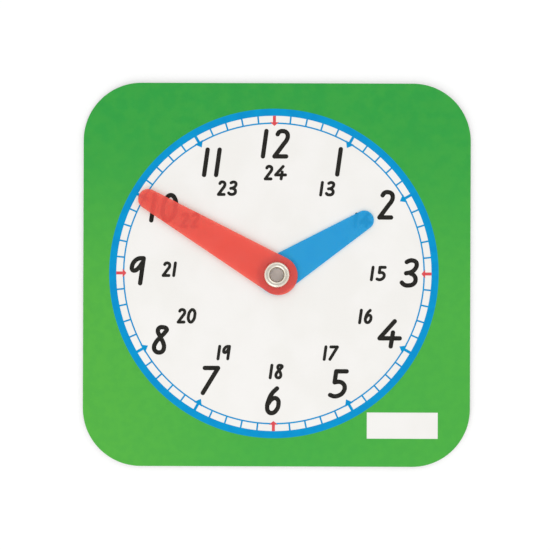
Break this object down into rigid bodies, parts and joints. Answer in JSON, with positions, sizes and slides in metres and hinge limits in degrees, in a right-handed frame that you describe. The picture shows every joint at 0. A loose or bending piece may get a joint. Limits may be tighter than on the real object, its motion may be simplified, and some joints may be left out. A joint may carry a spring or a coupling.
{
  "type": "teaching clock face",
  "caption": "Square wipe-clean clock dial with round corners and two hands that a pupil sets by turning them about a metal eyelet.",
  "frame": {"origin": "on the hands' axis, at the surface that the clock lies on", "axes": "+Z out of the dial, +Y towards 12 o'clock, +X towards 3 o'clock"},
  "size_m": [0.1206, 0.1194, 0.0042],
  "materials": {
    "white_sheet": "white plastic sheet, satin gloss",
    "green_ink": "green printing ink, satin",
    "blue_ink": "blue printing ink, satin",
    "red_ink": "red printing ink, satin",
    "black_ink": "black printing ink of the numerals, satin",
    "blue_plastic": "translucent blue plastic",
    "red_plastic": "translucent red plastic",
    "nickel": "nickel-plated, drawn"
  },
  "bodies": {
    "board": {"dial_board": "white_sheet", "green_ground": "green_ink", "minute_ring": "blue_ink", "quarter_marks": "red_ink", "eyelet": "nickel"},
    "hour_hand": {"hour_hand": "blue_plastic"},
    "minute_hand": {"minute_hand": "red_plastic"}
  },
  "joints": [
    {"name": "hour_hand_turn", "type": "hinge", "parent": "board", "child": "hour_hand", "pos_m": [0, 0, 0.0022], "axis": [0, 0, 1], "continuous": true},
    {"name": "minute_hand_turn", "type": "hinge", "parent": "board", "child": "minute_hand", "pos_m": [0, 0, 0.0028], "axis": [0, 0, 1], "continuous": true}
  ]
}
